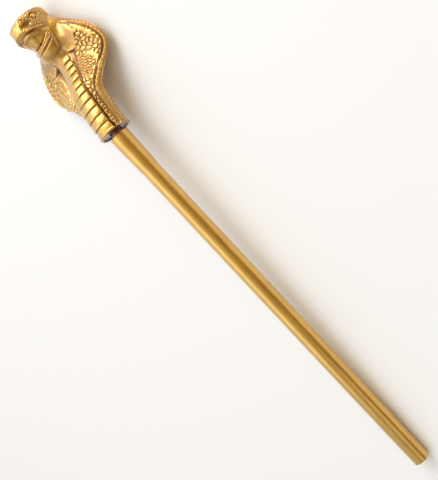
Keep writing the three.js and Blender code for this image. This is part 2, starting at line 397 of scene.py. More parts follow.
def head_placing(ring, segment):
    front, up, fullness = closed_curve(HEAD_OUTLINE, segment).T
    turn = math.pi * (ring - 0.5)
    reach = np.abs(np.cos(turn)) ** (2 / fullness)
    side = HEAD_HALF_WIDTH * np.sign(turn) * np.abs(np.sin(turn)) ** (2 / fullness)
    climb = mix(CORNER_SPREAD * ease(102, 108, up), 1, reach)
    return np.stack([mix(CORNER[0], front, reach), side, mix(CORNER[1], up, climb)], axis=-1)


head = shape_sphere("cobra_face", HEAD_SEGMENTS, HEAD_RINGS, head_placing)

# %% [markdown]
# ## One moulding
#
# Body, head and spigot overlap as separate skins. A voxel remesh gives the one skin that a
# mould gives: it walks round the outside of all of them, and fine even faces are left that
# can be carved.

# %% Join and remesh
VOXEL = 0.42
SPIGOT_RADIUS = 6.1
SPIGOT_LENGTH = 14
SPIGOT_SIDES = 96
SPIGOT_ROOT = RECESS_DEPTH + 2

spigot_centre = lay([0, 0, (SPIGOT_ROOT - SPIGOT_LENGTH) / 2])
bpy.ops.mesh.primitive_cylinder_add(
    vertices=SPIGOT_SIDES, radius=SPIGOT_RADIUS * MM, depth=(SPIGOT_LENGTH + SPIGOT_ROOT) * MM,
    location=spigot_centre, rotation=Vector(UP).to_track_quat("Z", "X").to_euler(),
)
spigot = bpy.context.object
bpy.ops.object.transform_apply(location=True, rotation=True, scale=True)

for piece in (spigot, head, body):
    piece.select_set(True)
bpy.context.view_layer.objects.active = body
bpy.ops.object.join()
cobra = bpy.context.object
cobra.name = "cobra"
remesh = cobra.modifiers.new("one skin", "REMESH")
remesh.mode = "VOXEL"
remesh.voxel_size = VOXEL * MM
bpy.ops.object.modifier_apply(modifier=remesh.name)
bpy.ops.object.select_all(action="DESELECT")
print("remeshed", len(cobra.data.vertices), "corners")

# %% [markdown]
# ## Softening the inside corners
#
# A mould leaves no knife-sharp inside corners. Where the skin is hollow, as under the jaw,
# the corners are put in a vertex group, and a Smooth modifier rounds only those. A light
# pass over everything takes out the remesh's small steps.

# %% Fillets
FILLET_REACH = 9
FILLET_FADE = 0.93
FILLET_PASSES = 60
POLISH_PASSES = 3
HOLLOW_RANGE = (0.012, 0.03)
NAPE_FRONT, NAPE_UP = -14, 114
CHIN_UP, LIP_SLOPE = 90, 0.72


def corners_of(piece):
    """Standing places and normals of a piece's corners."""
    turned = corner_values(piece, "normal") @ np.stack([FRONT, LEFT, UP], axis=1)
    return stand(corner_values(piece)), turned


def edge_ends(piece):
    """The first and the second corner of every edge."""
    ends = np.empty(len(piece.data.edges) * 2, int)
    piece.data.edges.foreach_get("vertices", ends)
    return ends.reshape(-1, 2).T


def neighbour_mean(piece, values):
    """The mean of some corner values over each corner's neighbours."""
    a, b = edge_ends(piece)
    ends, others = np.concatenate([a, b]), np.concatenate([b, a])
    total = np.maximum(np.bincount(ends, minlength=len(values)), 1)
    return np.stack(
        [np.bincount(ends, column[others], len(values)) / total for column in values.T], axis=-1
    )


def smooth_by(piece, name, passes, factor, weights=None):
    """Apply a Smooth modifier, all over or by weights."""
    modifier = piece.modifiers.new(name, "SMOOTH")
    modifier.iterations = passes
    modifier.factor = factor
    if weights is not None:
        group = piece.vertex_groups.new(name=name)
        for level in range(1, 11):
            chosen = np.flatnonzero(np.round(weights * 10) == level)
            group.add(chosen.tolist(), level / 10, "REPLACE")
        modifier.vertex_group = group.name
    bpy.context.view_layer.objects.active = piece
    bpy.ops.object.modifier_apply(modifier=modifier.name)
    piece.vertex_groups.clear()


def neighbour_most(piece, values):
    """The largest of some corner values over each corner's neighbours and itself."""
    a, b = edge_ends(piece)
    most = values.copy()
    np.maximum.at(most, a, values[b])
    np.maximum.at(most, b, values[a])
    return most


smooth_by(cobra, "polish", POLISH_PASSES, 0.5)
places, normals = corners_of(cobra)
front, side, up = places.T
lip_up = np.where(front < NAPE_FRONT, NAPE_UP, CHIN_UP - LIP_SLOPE * np.minimum(front, 0))
below_lips = 1 - ease(0, 2, up - lip_up)
hollow = ((neighbour_mean(cobra, places) - places) * normals).sum(axis=1)
inside_corner = ease(*HOLLOW_RANGE, hollow) * below_lips * ease(79, 82, up)
for _ in range(FILLET_REACH):
    inside_corner = np.maximum(inside_corner, FILLET_FADE * neighbour_most(cobra, inside_corner))
inside_corner *= below_lips
smooth_by(cobra, "fillets", FILLET_PASSES, 0.5, inside_corner)
print("filleted", int((inside_corner > 0.5).sum()), "corners")

# %% [markdown]
# ## Where on the body a corner is
#
# The relief is laid out on the skin itself, so each corner is first told its distance out
# from the belly column, measured over the skin, its distance off the front of the body,
# and how far it is from the hood's edge and along it.

# %% Skin coordinates
ROW_STEP = 0.5
ACROSS_STEPS = 220
BATCH = 20000

row_heights = np.arange(0, BODY_TOP + ROW_STEP, ROW_STEP)
across_steps = np.linspace(0, 1, ACROSS_STEPS)
skin_side, skin_front = front_half(across_steps[None, :], row_heights[:, None])
skin_up = np.broadcast_to(row_heights[:, None], skin_side.shape)
skin_front = skin_front + swell(skin_side.ravel(), skin_up.ravel()).reshape(skin_side.shape)
skin_run = np.hypot(np.diff(skin_side, axis=1), np.diff(skin_front, axis=1)).cumsum(axis=1)
skin_run = np.pad(skin_run, ((0, 0), (1, 0)))
column_run = np.array([
    np.interp(along(COLUMN_HALF_WIDTH, up), side, run)
    for up, side, run in zip(row_heights, skin_side, skin_run)
])
skin_out = skin_run - column_run[:, None]


def on_skin(front, side, up):
    """Distances out from the column over the skin, and off the front of the body."""
    out, off = np.empty(len(up)), np.empty(len(up))
    for start in range(0, len(up), BATCH):
        part = slice(start, start + BATCH)
        row = np.clip(np.round(up[part] / ROW_STEP).astype(int), 0, len(row_heights) - 1)
        gap_side = side[part, None] - skin_side[row]
        gap_front = front[part, None] - skin_front[row]
        near = np.argmin(gap_side ** 2 + gap_front ** 2, axis=1)
        low, high = np.maximum(near - 1, 0), np.minimum(near + 1, ACROSS_STEPS - 1)
        step_side = skin_side[row, high] - skin_side[row, low]
        step_front = skin_front[row, high] - skin_front[row, low]
        length = np.hypot(step_side, step_front)
        pick = np.arange(len(near))
        rest_side, rest_front = gap_side[pick, near], gap_front[pick, near]
        slide = (rest_side * step_side + rest_front * step_front) / length
        out[part] = skin_out[row, near] + np.clip(slide, -1, 1)
        off[part] = (rest_front * step_side - rest_side * step_front) / length
    return out, off


def ridge(distance, half_width):
    """1 on a line and 0 from half_width away, with a round top."""
    return 1 - ease(0, half_width, np.abs(distance))


# %% [markdown]
# ## Belly scutes and the groove beside them
#
# The scutes are broad plates that overlap like shingles, each with its lower edge standing
# proud. They grow longer towards the collar by a fixed ratio.

# %% Belly relief
SCUTE_TOP = 77.2
SCUTE_BOTTOM = 0.4
SCUTE_COUNT = 11
SCUTE_GROWTH = 1.05
SCUTE_STEP = 1.1
SCUTE_PILLOW = 0.3
SCUTE_SEAM = 0.45
GROOVE_WIDTH = [[0, 1.7], [40, 2], [52, 2.8], [62, 4], [68, 5.6], [72, 8.5], [76, 10]]
GROOVE_DEPTH = 1.3
THROAT_SILL = [[0, 78.4], [9.5, 78], [13, 76.4], [16, 75.2], [20, 74], [26, 73]]

growth_sum = (SCUTE_GROWTH ** SCUTE_COUNT - 1) / (SCUTE_GROWTH - 1)
first_scute = (SCUTE_TOP - SCUTE_BOTTOM) / growth_sum
scute_edges = [SCUTE_TOP]
for i in range(SCUTE_COUNT):
    scute_edges.append(scute_edges[-1] - first_scute * SCUTE_GROWTH ** i)
scute_edges = np.array(scute_edges[::-1])


def belly_relief(side, right, up, out):
    """Shingled scutes across the column, and the groove outside them, up to the throat."""
    i = np.clip(np.searchsorted(scute_edges, up) - 1, 0, SCUTE_COUNT - 1)
    length = scute_edges[i + 1] - scute_edges[i]
    climb = (up - scute_edges[i]) / length
    below_top = 1 - ease(SCUTE_TOP - 0.5, SCUTE_TOP + 0.3, up)
    lip = ease(0, 0.4 / length, climb)
    shingle = lip * (SCUTE_STEP * (1 - climb) + SCUTE_PILLOW * np.sin(math.pi * climb))
    seam = SCUTE_SEAM * ridge(np.minimum(climb, 1 - climb) * length, 0.55)
    flare = 0.9 * (1 - climb) - 0.5
    on_column = 1 - ease(-0.6, 0.5, out - flare)
    worn = 0.85 * ease(26, 46, up) * ease(-5, 1, right)
    scutes = on_column * (shingle - seam) * (1 - worn)
    width = along(GROOVE_WIDTH, up)
    depth = GROOVE_DEPTH * ridge(out - 0.3 - width / 2, width / 2 + 0.5)
    below_throat = 1 - ease(-0.5, 0.4, up - along(THROAT_SILL, side))
    return below_top * scutes - below_throat * depth


# %% [markdown]
# ## Scales of the hood
#
# The lobes are covered in irregular scales: small ones in slanting rows beside the column,
# larger plates towards the edge. Each scale is the ground nearest to its own seed, measured
# longer along its row than across it. A scale is a low pillow with a tilt of its own, and
# the skin sinks to a fine groove between a seed's ground and the next one's.

# %% Scale seeds
SCALE_SEED = 11
ROW_SLANT = math.radians(-33)
SMALL_SCALE = (3.0, 1.9)
LARGE_SCALE = (5.0, 3.6)
COLLAR_SCALE = (3.2, 3.2)
TRIALS = 9000


def small_share(out, up):
    """1 amid the small scales beside the column, and 0 away from them."""
    return ridge(np.hypot((out - 10) / 10, (up - 57) / 11), 1.25) ** 0.6


def scale_size(out, up):
    """Length along the row and width across it of the scales at a place on a lobe."""
    small = small_share(out, up)
    collar = 1 - ease(26, 40, up)
    size = [mix(large, fine, small) for large, fine in zip(LARGE_SCALE, SMALL_SCALE)]
    return [mix(body_size, band, collar) for body_size, band in zip(size, COLLAR_SCALE)]


def scale_seeds():
    """Seeds thrown at random and kept only where they have a scale's room."""
    rng = np.random.default_rng(SCALE_SEED)
    throws = rng.uniform((0, -3), (48, 108), (TRIALS, 2))
    kept = np.empty((0, 2))
    for throw in throws:
        length, width = scale_size(*throw)
        gap = kept - throw
        slant = ROW_SLANT * ease(24, 44, throw[1])
        run = gap[:, 0] * math.cos(slant) + gap[:, 1] * math.sin(slant)
        rise = gap[:, 1] * math.cos(slant) - gap[:, 0] * math.sin(slant)
        if len(kept) == 0 or np.hypot(run / length, rise / width).min() > 0.78:
            kept = np.vstack([kept, throw])
    return kept, rng.uniform(-1, 1, (len(kept), 3))


seeds, seed_traits = scale_seeds()
print("scale seeds", len(seeds))

# %% Scale relief
FAR = 9.0
SCALE_HEIGHT = 1.0
SCALE_GROOVE = 0.34
SCALE_UNEVEN = 0.16
SCALE_TILT = 0.16


def pillows(seeds, traits, out, up, length, width, slant):
    """Pillows round the seeds, with grooves where two seeds are equally near."""
    first = np.full(len(out), FAR)
    second = np.full(len(out), FAR)
    pillow = np.zeros(len(out))
    for (seed_out, seed_up), (lift, tilt_out, tilt_up) in zip(seeds, traits):
        near = np.flatnonzero((np.abs(out - seed_out) < 8) & (np.abs(up - seed_up) < 8))
        gap_out, gap_up = out[near] - seed_out, up[near] - seed_up
        run = (gap_out * np.cos(slant[near]) + gap_up * np.sin(slant[near])) / length[near]
        rise = (gap_up * np.cos(slant[near]) - gap_out * np.sin(slant[near])) / width[near]
        distance = np.hypot(run, rise)
        closer = distance < first[near]
        second[near] = np.where(closer, first[near], np.minimum(second[near], distance))
        first[near] = np.where(closer, distance, first[near])
        own = SCALE_UNEVEN * lift + SCALE_TILT * (tilt_out * gap_out + tilt_up * gap_up)
        own = np.clip(own, -0.35, 0.35)
        pillow[near] = np.where(closer, own, pillow[near])
    border = ease(0, SCALE_GROOVE, np.clip(second - first, 0, 1))
    crown = 1 - 0.35 * np.clip(first, 0, 1) ** 2
    return SCALE_HEIGHT * border * crown + pillow * border


def scale_relief(out, up):
    """The scales of the lobes and the collar."""
    return pillows(seeds, seed_traits, out, up, *scale_size(out, up), ROW_SLANT * ease(24, 44, up))


# %% [markdown]
# ## The hood's rim, throat and folds
#
# A raised, beaded rim runs just inside the hood's edge and on down the collar. The throat
# is a smooth sheet that ends in a ledge over the scales. Two folds of skin lie on each
# lobe: a long one beside the rim and a hooked one lower down.

# %% Rim and folds
ROW_PITCH = 2.2
ROW_BREAK = 9
ROW_HEIGHT = 1.25
RIM_INSET = 2.6
RIM_HEIGHT = 1.35
RIM_HALF_WIDTH = 1.25
RIM_BEAD = 4.2
RIM_FADE = (93, 100)
THROAT_EDGE = [
    [66, 13], [70, 17], [73, 19.5], [76, 22], [80, 25], [85, 28], [90, 27.5], [95, 25.5],
    [100, 26.5], [105, 33], [112, 45],
]
THROAT_LIFT = 1.1
THROAT_REACH = 7
LONG_FOLD = [[30.5, 87], [33.5, 81.5], [36.4, 76], [38, 71.5]]
HOOKED_FOLD = [[25.5, 62.5], [29, 60.5], [30.8, 56], [30.4, 51], [28.6, 47]]

rim_up = np.arange(0, 118, 0.5)
rim_path = np.stack([along(RIM_FRONT, rim_up), along(HALF_WIDTH, rim_up), rim_up], axis=-1)


def rim_relief(inset, run, up):
    """The beaded ridge inside the edge, with a fine groove on its inner side."""
    hood = ease(HOOD_START, HOOD_FULL, up)
    raised = mix(0.45, 1, hood) * (1 - ease(*RIM_FADE, up))
    bead = np.abs((run + 0.7 * inset) / RIM_BEAD % 1 - 0.5) * RIM_BEAD
    notch = 1 - 0.6 * ease(RIM_BEAD / 2 - 0.9, RIM_BEAD / 2 - 0.1, bead)
    line = ridge(inset - RIM_INSET, RIM_HALF_WIDTH) * notch
    inner = ridge(inset - RIM_INSET - 1.9, 1.1)
    outer = ridge(inset - RIM_INSET + 1.6, 0.6)
    return raised * (RIM_HEIGHT * line - 0.9 * inner - 0.35 * outer)


def row_relief(out, up):
    """Wavy ridges that run down and outward beside the column, broken here and there."""
    run = out * math.cos(ROW_SLANT) + up * math.sin(ROW_SLANT)
    rise = up * math.cos(ROW_SLANT) - out * math.sin(ROW_SLANT)
    wave = 0.26 * np.sin(run * 1.05) + 0.1 * np.sin(run * 2.3 + rise * 0.8)
    phase = rise / ROW_PITCH + wave
    row = np.floor(phase)
    gap = np.abs((run / ROW_BREAK + 0.37 * row * row) % 1 - 0.5) * ROW_BREAK
    notch = 1 - 0.5 * ease(ROW_BREAK / 2 - 0.8, ROW_BREAK / 2, gap)
    return ROW_HEIGHT * np.abs(np.sin(math.pi * phase)) ** 0.8 * notch


def lobe_relief(side, right, up, out, inset):
    """Scales with the throat sheet and the folds laid over them."""
    from_edge = 0.85 * (along(THROAT_EDGE, up) - side)
    from_sill = 0.9 * (up - along(THROAT_SILL, side))
    inside = np.minimum(from_edge, from_sill)
    throat = ease(-0.5, 0.4, inside)
    sheet = throat * THROAT_LIFT * (1 - ease(1, THROAT_REACH, inside)) * ease(0, 3, out)
    root = np.maximum(along(GROOVE_WIDTH, np.minimum(up, 76)), 1.5)
    ground = ease(root - 0.2, root + 0.8, out) * ease(RIM_INSET + 1.7, RIM_INSET + 3, inset)
    long_fold = ridge(from_line(side, up, LONG_FOLD), 2.4)
    fold = np.maximum(long_fold, ridge(from_line(side, up, HOOKED_FOLD), 2.6))
    fold_height = np.sqrt(np.clip(fold, 0, 1))
    far = ease(0, 5, right)
    rows = ease(0.25, 0.6, small_share(out * (1 - 0.5 * far), up)) * ease(38, 44, up)
    tall = 1 + mix(0.5, -0.8, far) * (1 - ease(26, 40, up))
    scales = mix(scale_relief(out, up) * tall, row_relief(out, up), rows) * ground
    lobes = mix(scales, 1.15, fold_height * (fold > 0.02)) * (1 - throat)
    return lobes + sheet * ease(RIM_INSET + 1.7, RIM_INSET + 4, inset)


# %% [markdown]
# ## The head's relief
#
# The lips are lines on the head, given here as they look from the side. The mouth between
# them is filled with a shallow vault: a palate ridge under the upper lip, a plain tongue in
# the middle with a bright flat on either side of it, and a doubled lower lip with teeth.
# Above the lips come the snout's smooth pad, the hollow before the eye, brow, eye and cheek
# scales, and on the crown, which the view does not show, plain large shields.

# %% Lines and places of the head
UPPER_LIP = [
    [-14.5, 104.4], [-10.5, 106], [-6, 106.8], [-3, 107.5], [0, 108.5], [3, 109.4],
    [6.2, 110], [8.4, 111.1],
]
PALATE = [[-11, 105.2], [-4.5, 106.4], [-1, 107], [2, 107.1], [4.8, 107]]
LOWER_LIP = [[-15, 102.2], [-12.5, 100.8], [-9, 98.4], [-5, 95.1], [-1, 92.8], [0.5, 92.2]]
LIP_BEAD = 1.9
VAULT_DEPTH = 1.9
CANTHUS = [[4.2, 121.4], [1.5, 120.8], [-0.5, 118], [-2.6, 115.8]]
BROW = [[-13.5, 120.4], [-10, 122], [-5.5, 122], [-2.4, 120.4]]
CROWN_GROOVE = [[-15, 123.8], [-6, 123.9], [3, 122.4]]
EYE = (-7.4, 118.4)
EYE_RADIUS = 2.3
NOSTRIL = (4.3, 118.5)
NEAR_CORNER = (-16, 103)
TEETH = [[-6, 95.6], [-2.6, 94.2], [1.1, 93.9], [4.4, 94.5]]
TOOTH_RADIUS = 1.15
HOLLOW, HOLLOW_SIZE = (2.9, 114.9), (6, 3.9)
SHIELD_SEAMS = [
    [[6, 0], [-1.5, 0]], [[2.8, 0], [2.2, 7.5]], [[-1.5, 0], [-1.8, 3.6], [-9, 3.2], [-11.5, 0]],
    [[-1.8, 3.6], [-3, 9.6]], [[-9, 3.2], [-11, 9.4]], [[-11.5, 0], [-23, 0]],
    [[-11, 9.4], [-20, 7.5], [-23, 0]], [[-11, 9.4], [-3, 9.6], [2.2, 7.5]],
]
CHEEK_SEED = 5
CHEEK_SCALE = 2.1


def cheek_seeds():
    """Evenly crowded seeds over the side of the head."""
    rng = np.random.default_rng(CHEEK_SEED)
    kept = np.empty((0, 2))
    for throw in rng.uniform((-28, 102), (6, 125), (TRIALS // 2, 2)):
        if len(kept) == 0 or np.linalg.norm(kept - throw, axis=1).min() > 0.8 * CHEEK_SCALE:
            kept = np.vstack([kept, throw])
    return kept, rng.uniform(-1, 1, (len(kept), 3))


cheeks, cheek_traits = cheek_seeds()


def round_head(front, side):
    """Turn from the snout's middle round the head, and the lip's length to that turn."""
    length = UPPER_LIP[-1][0] - CORNER[0]
    turn = np.arctan2(side / HEAD_HALF_WIDTH, (front - CORNER[0]) / length)
    turns = np.linspace(0, math.pi, 60)
    steps = np.hypot(length * np.sin(turns), HEAD_HALF_WIDTH * np.cos(turns)) * turns[1]
    return turn, np.interp(turn, turns, steps.cumsum())


def above_line(front, up, line):
    """Distance to a line as seen from the side, minus below it."""
    distance = from_line(front, up, line)
    below = up < np.interp(front, *np.array(line).T)
    return np.where(below, -distance, distance)


def in_oval(front, up, centre, size):
    """0 in the middle of an oval on the side of the head and 1 on its line."""
    return np.hypot((front - centre[0]) / size[0], (up - centre[1]) / size[1])


def mouth_share(upper, lower):
    """0 at the upper lip and 1 at the lower one."""
    down = np.maximum(-upper, 0)
    return down / (down + np.maximum(lower, 0.01))


print("cheek scales", len(cheeks))


# %% Head relief
def mouth_relief(front, side, up):
    """The lips, the vault between them and the teeth."""
    upper, lower = (above_line(front, up, line) for line in (UPPER_LIP, LOWER_LIP))
    turn, lip_run = round_head(front, np.abs(side))
    bead = np.abs(lip_run / LIP_BEAD % 1 - 0.5) * 2
    beads = (1.35 - 0.8 * ease(0.4, 1, bead)) * ridge(upper - 0.6, 1.3) * ease(0.1, 0.7, turn)
    beads -= 0.5 * ridge(upper - 2.3, 0.8) * ease(0.5, 0.8, turn)
    in_mouth = ease(-0.3, 0.5, -upper) * ease(-0.3, 0.5, lower) * ease(-18, -15, front)
    t = mouth_share(upper, lower)
    tongue = -0.8 * ease(0.05, 0.3, t) * (1 - ease(0.78, 0.92, t))
    near = np.abs(side)
    bed = mix(0.36, 0.6, ease(5.5, 14, near))
    depth = VAULT_DEPTH * (1 - 0.85 * np.clip((near - 6) / 7.5, 0, 1))
    down, back = np.clip((t - 0.2) / (bed - 0.2), 0, 1), np.clip((t - bed) / (0.86 - bed), 0, 1)
    vault = -depth * ease(0, 1, down) * (1 - back) + 0.35 * back * (1 - ease(0.86, 0.9, t))
    palate = from_line(front, up, PALATE)
    inside = mix(tongue, vault, ease(4.6, 6.2, near)) - 0.55 * ridge(upper + 1, 0.8)
    inside += 0.75 * ridge(palate, 0.85) - 0.8 * ridge(lower - 3, 0.75)
    teeth = np.zeros(len(up))
    for tooth_side, tooth_up in TEETH:
        away = np.hypot(side - tooth_side, up - tooth_up)
        teeth = np.maximum(teeth, np.sqrt(np.clip(1 - (away / TOOTH_RADIUS) ** 2, 0, 1)))
    lips = 1.15 * ridge(lower + 0.2, 1.25) - 0.4 * ridge(lower - 1.3, 0.5)
    lips += 0.6 * ridge(lower - 2, 0.65) - 0.6 * ridge(lower + 1.9, 1.0)
    lips *= ease(-17.5, -15, front)
    corner = np.hypot(front - NEAR_CORNER[0], up - NEAR_CORNER[1])
    return beads + in_mouth * inside + lips + 0.7 * teeth * (front > -6) + 0.9 * ridge(corner, 2)


def upper_head_relief(front, side, up):
    """What lies above the lips on the side of the head and the snout."""
    near = np.abs(side)
    upper = above_line(front, up, UPPER_LIP)
    from_eye = np.hypot(front - EYE[0], up - EYE[1])
    hollow = 1 - ease(0.3, 1, in_oval(front, up, HOLLOW, HOLLOW_SIZE))
    hollow *= ease(5.8, 7.6, near)
    pad = ease(-0.35, 0.35, 6.6 - near) * ease(4, 5.5, front)
    pad *= ease(111.6, 112.4, up) * (1 - ease(119.2, 120, up))
    ground = ease(1.4, 2.2, upper) * ease(2.9, 3.6, from_eye) * (1 - hollow) * (1 - pad)
    ground *= (1 - ease(5, 6.5, front)) * ease(-26, -22, front)
    ones = np.ones(len(up))
    size = CHEEK_SCALE * ones
    relief = 0.8 * ground * pillows(cheeks, cheek_traits, front, up, size, size, 0 * ones)
    relief += 0.45 * pad - 0.8 * hollow
    for line, height, half_width in (
        (CANTHUS, 0.75, 1.0), (BROW, 0.9, 1.3), (CROWN_GROOVE, -0.6, 1.0)
    ):
        relief += height * ridge(from_line(front, up, line), half_width)
    ball = np.sqrt(np.clip(1 - (from_eye / EYE_RADIUS) ** 2, 0, 1))
    relief += 1.0 * ball - 0.9 * ridge(from_eye - EYE_RADIUS - 0.35, 0.7)
    relief += 0.5 * ridge(from_eye - EYE_RADIUS - 1.35, 0.7) * ease(-2, 2, up - EYE[1] + 1)
    pit = np.hypot(near - NOSTRIL[0], up - NOSTRIL[1])
    return relief * ease(-1, 0.5, upper) - 0.9 * ridge(pit, 0.95) * (front > 4)


def crown_relief(front, side):
    """Fine seams between the shields of the crown."""
    seam = np.min([from_line(front, np.abs(side), line) for line in SHIELD_SEAMS], axis=0)
    return 0.35 - 0.6 * ridge(seam, 0.75)


def head_relief(places, normals, off):
    front, side, up = places.T
    on_head = np.maximum(ease(0.8, 2, off), ease(117, 119, up)) * ease(84, 88, up)
    crown = ease(0.5, 0.85, normals[:, 2]) * ease(118, 121, up)
    around = mouth_relief(front, side, up) + upper_head_relief(front, side, up)
    forward = ease(-0.7, -0.3, normals[:, 0])
    return on_head * mix(around, crown_relief(front, side), crown) * forward


# %% Carve
DETAIL_LIMIT = 190000


def carve(piece, heights):
    """Move a piece's corners along their normals by heights in millimetres."""
    places, normals = corners_of(piece)
    moved = lay(places + normals * heights[:, None])
    piece.data.vertices.foreach_set("co", moved.ravel())
    piece.data.update()


def cobra_relief(places, normals):
    front, side, up = places.T
    right, side = -side, np.abs(side)
    level = level_up(front, up)
    out, off = on_skin(front, side, level)
    inset, run = to_path(np.stack([front, side, level], axis=-1), rim_path)
    on_body = (1 - ease(0.8, 1.6, np.abs(off))) * ease(0.4, 1.0, level)
    relief = belly_relief(side, right, level, out) + rim_relief(inset, run, level)
    relief += lobe_relief(side, right, level, out, inset)
    relief *= on_body * ease(-0.25, 0.1, normals[:, 0] + 0.4 * np.abs(normals[:, 1]))
    return relief + head_relief(places, normals, off)


places, normals = corners_of(cobra)
carve(cobra, cobra_relief(places, normals))

thin = cobra.modifiers.new("thin out flat ground", "DECIMATE")
thin.ratio = DETAIL_LIMIT / (2 * len(cobra.data.polygons))
bpy.context.view_layer.objects.active = cobra
bpy.ops.object.modifier_apply(modifier=thin.name)
bpy.ops.object.select_all(action="DESELECT")
cobra.select_set(True)
bpy.ops.object.shade_smooth()
cobra.select_set(False)
print("carved", sum(len(face.vertices) - 2 for face in cobra.data.polygons), "triangles")

# %% [markdown]
# ## Shaft
#
# The shaft is a drawn tube with a slight taper, belled out at the top end and closed at the
# bottom. It is turned here from a cylinder: cuts across it give the rings, and each ring is
# brought to its radius. The bell's mouth is set in to make the socket, and the underside of
# the closed end is pared flat where it meets the table.

# %% Shaft
SHAFT_SIDES = 128
SHAFT_RADIUS = 8.05
TIP_RADIUS = 7.7
TAPER_LENGTH = 120
BELL_RADIUS = 9.25
BELL_END_RADIUS = 8.6
BELL_LENGTH = 30
SHOULDER_LENGTH = 10
SHAFT_EDGE = 0.5
EDGE_STEPS = 4
SOCKET_RADIUS = 6.4
SOCKET_END = -15

top = -JOINT_GAP
bottom = top - SHAFT_LENGTH
bell_end = top - BELL_LENGTH
rings = [[bottom + TAPER_LENGTH, SHAFT_RADIUS], [bell_end - SHOULDER_LENGTH, SHAFT_RADIUS]]
for i in range(1, 5):
    rings.append([bell_end - SHOULDER_LENGTH * (1 - i / 4), mix(
        SHAFT_RADIUS, BELL_END_RADIUS, ease(0, 1, i / 4)
    )])
rings.append([top - BELL_LENGTH / 3, mix(BELL_RADIUS, BELL_END_RADIUS, 0.33)])
for i in range(EDGE_STEPS + 1):
    turn = math.pi / 2 * i / EDGE_STEPS
    drop, draw = SHAFT_EDGE * (1 - math.cos(turn)), SHAFT_EDGE * (1 - math.sin(turn))
    rings.append([bottom + draw, TIP_RADIUS - drop])
    rings.append([top - draw, BELL_RADIUS - drop])
rings.sort()

bpy.ops.mesh.primitive_cylinder_add(
    vertices=SHAFT_SIDES, radius=1, depth=SHAFT_LENGTH, location=(0, 0, (top + bottom) / 2),
)
shaft = bpy.context.object
shaft.name = "shaft_tube"
bpy.ops.object.transform_apply(location=True, rotation=True, scale=True)
bpy.ops.object.mode_set(mode="EDIT")
for height, _ in rings:
    bpy.ops.mesh.select_all(action="SELECT")
    bpy.ops.mesh.bisect(plane_co=(0, 0, height), plane_no=(0, 0, 1))
bpy.ops.object.mode_set(mode="OBJECT")
for corner in shaft.data.vertices:
    radius = np.interp(corner.co.z, [h for h, _ in rings], [r for _, r in rings])
    corner.co.x *= radius
    corner.co.y *= radius

bpy.ops.object.mode_set(mode="EDIT")
bpy.ops.mesh.select_mode(type="FACE")
bpy.ops.mesh.select_all(action="DESELECT")
bpy.ops.object.mode_set(mode="OBJECT")
for face in shaft.data.polygons:
    face.select = face.normal.z > 0.99 and face.center.z > top - 0.01
bpy.ops.object.mode_set(mode="EDIT")
bpy.ops.mesh.inset(thickness=BELL_RADIUS - SHAFT_EDGE - SOCKET_RADIUS)
bpy.ops.mesh.extrude_region_move(TRANSFORM_OT_translate={"value": (0, 0, SOCKET_END - top)})
bpy.ops.object.mode_set(mode="OBJECT")
side, front, up = corner_values(shaft).T
shaft.data.vertices.foreach_set("co", lay(np.stack([front, side, up], axis=-1)).ravel())
bpy.ops.object.mode_set(mode="EDIT")
bpy.ops.mesh.select_all(action="SELECT")
bpy.ops.mesh.bisect(plane_co=(0, 0, 0), plane_no=(0, 0, 1), use_fill=True, clear_inner=True)
bpy.ops.object.mode_set(mode="OBJECT")
face_outward()
bpy.ops.object.shade_smooth_by_angle(angle=math.radians(35))
bpy.ops.object.select_all(action="DESELECT")
print("shaft", len(shaft.data.polygons), "faces")

# %% [markdown]
# ## Gold finish
#
# Both pieces are plastic with a thin metallic coat. On the cobra the colour is painted lighter
# on the high places, a painted highlight, and browner in the grooves, a painted shade, and the
# grooves are rougher. The depth of the relief is stored on the corners and drives the colour and
# the roughness.

# %% Depth of the relief on each corner
DEPTH_SPREAD = 8
DEPTH_SCALE = 0.25


def store_depth(piece):
    """Store how high each corner stands above its surroundings, 0.5 being level."""
    places, normals = corners_of(piece)
    around = places
    for _ in range(DEPTH_SPREAD):
        around = neighbour_mean(piece, around)
    height = ((places - around) * normals).sum(axis=1)
    depth = np.clip(0.5 + height * DEPTH_SCALE, 0, 1)
    piece.data.attributes.new("depth", "FLOAT", "POINT").data.foreach_set("value", depth)
    return depth


# %% Painted shade and highlight on each corner
# Negative tones paint shade and positive tones paint highlight.
SHADED_HOLLOW, SHADED_HOLLOW_SIZE = (2.8, 114.8), (5.6, 4)
HOLLOW_SHADE_TONE, RECESS_SHADE_TONE, NECK_SHADE_TONE = -0.28, -0.5, -0.17
GROOVE_SHADE_TONE, EDGE_SHADE_TONE = -0.3, -0.16
PAD_HIGHLIGHT_TONE, BED_HIGHLIGHT_TONE, EYE_HIGHLIGHT_TONE = 0.25, 0.4, 0.3


